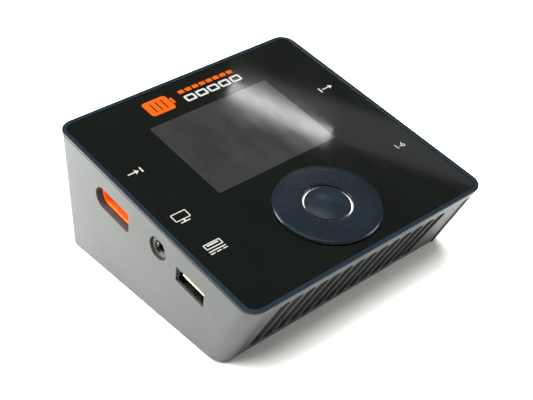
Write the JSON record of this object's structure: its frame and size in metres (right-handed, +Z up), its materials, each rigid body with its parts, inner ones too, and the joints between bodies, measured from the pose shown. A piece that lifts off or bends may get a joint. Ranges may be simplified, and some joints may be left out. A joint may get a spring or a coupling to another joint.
{
  "type": "balance battery charger",
  "caption": "Wedge-shaped desktop battery charger with a sloping glossy panel, a display, a turning dial ring round a push button, side ports and slanted front vents.",
  "frame": {"origin": "middle of the footprint, on the surface it stands on", "axes": "+X right, +Y to the back (-Y is the front, where the user sits), +Z up"},
  "size_m": [0.105, 0.1076, 0.0514],
  "materials": {
    "case_plastic": "fine satin moulded grey",
    "base_plastic": "fine matt moulded dark grey",
    "rubber_feet": "matt",
    "cover_plastic": "satin blue-grey rim",
    "panel_gloss": "polished black, printed from behind",
    "steel": "satin",
    "lcd_glass": "polished",
    "backlight_film": "smooth",
    "circuit_board": "solder mask",
    "dial_plastic": "satin blue-black",
    "button_plastic": "satin dome",
    "black_plastic": "fine matt",
    "nylon_white": "smooth",
    "connector_orange": "smooth nylon",
    "gold_contact": "gold plated",
    "nickel_plate": "bright nickel",
    "fuse_amber": "translucent amber",
    "shunt_ceramic": "fired ceramic",
    "aluminium_fin": "extruded",
    "silicone_pad": "soft pad",
    "capacitor_sleeve": "shrink sleeve",
    "ribbon_film": "polyester film",
    "bronze": "sintered",
    "copper_coil": "enamelled wire"
  },
  "bodies": {
    "charger": {"balance_pins": "gold_contact", "balance_socket": "nylon_white", "base_plate": "base_plastic", "base_screws": "steel", "board_screws": "steel", "buzzer": "black_plastic", "capacitor_1": "capacitor_sleeve", "capacitor_2": "capacitor_sleeve", "capacitor_3": "capacitor_sleeve", "capacitor_4": "capacitor_sleeve", "control_board": "circuit_board", "control_board_screws": "steel", "dial_bearing": "nylon_white", "display_backlight": "backlight_film", "display_frame": "steel", "display_glass": "lcd_glass", "encoder_sensor": "black_plastic", "fan_bearing": "bronze", "fan_frame": "black_plastic", "fan_screws": "steel", "fan_stator": "copper_coil", "foot_back_left": "rubber_feet", "foot_back_right": "rubber_feet", "foot_front_left": "rubber_feet", "foot_front_right": "rubber_feet", "heatsink": "aluminium_fin", "input_connector": "connector_orange", "input_fuse": "fuse_amber", "input_pin_negative": "gold_contact", "input_pin_positive": "gold_contact", "jack_contact": "gold_contact", "link_jack": "black_plastic", "main_board": "circuit_board", "main_case": "case_plastic", "output_connector": "connector_orange", "output_contact_negative": "gold_contact", "output_contact_positive": "gold_contact", "power_inductor_1": "black_plastic", "power_inductor_2": "black_plastic", "power_transistor_1": "black_plastic", "power_transistor_2": "black_plastic", "power_transistor_3": "black_plastic", "power_transistor_4": "black_plastic", "processor": "black_plastic", "ribbon_cable": "ribbon_film", "shunt_resistor": "shunt_ceramic", "tact_switch": "black_plastic", "thermal_pad": "silicone_pad", "top_cover": "cover_plastic", "top_panel": "panel_gloss", "usb_contacts": "gold_contact", "usb_shell": "nickel_plate", "usb_tongue": "nylon_white"},
    "dial": {"dial_ring": "dial_plastic", "encoder_wheel": "black_plastic"},
    "button": {"centre_button": "button_plastic", "switch_plunger": "nylon_white"},
    "fan": {"fan_rotor": "black_plastic", "fan_shaft": "steel"}
  },
  "joints": [
    {"name": "dial_turn", "type": "hinge", "parent": "charger", "child": "dial", "pos_m": [0, -0.03027, 0.03707], "axis": [0, -0.1736, 0.9848], "continuous": true},
    {"name": "button_press", "type": "slide", "parent": "charger", "child": "button", "axis": [0, 0.1736, -0.9848], "range_m": [0, 0.0006], "stiffness_N_per_m": 2500},
    {"name": "fan_spin", "type": "hinge", "parent": "charger", "child": "fan", "pos_m": [0, 0.0436, 0.0235], "axis": [0, 1, 0], "continuous": true}
  ]
}
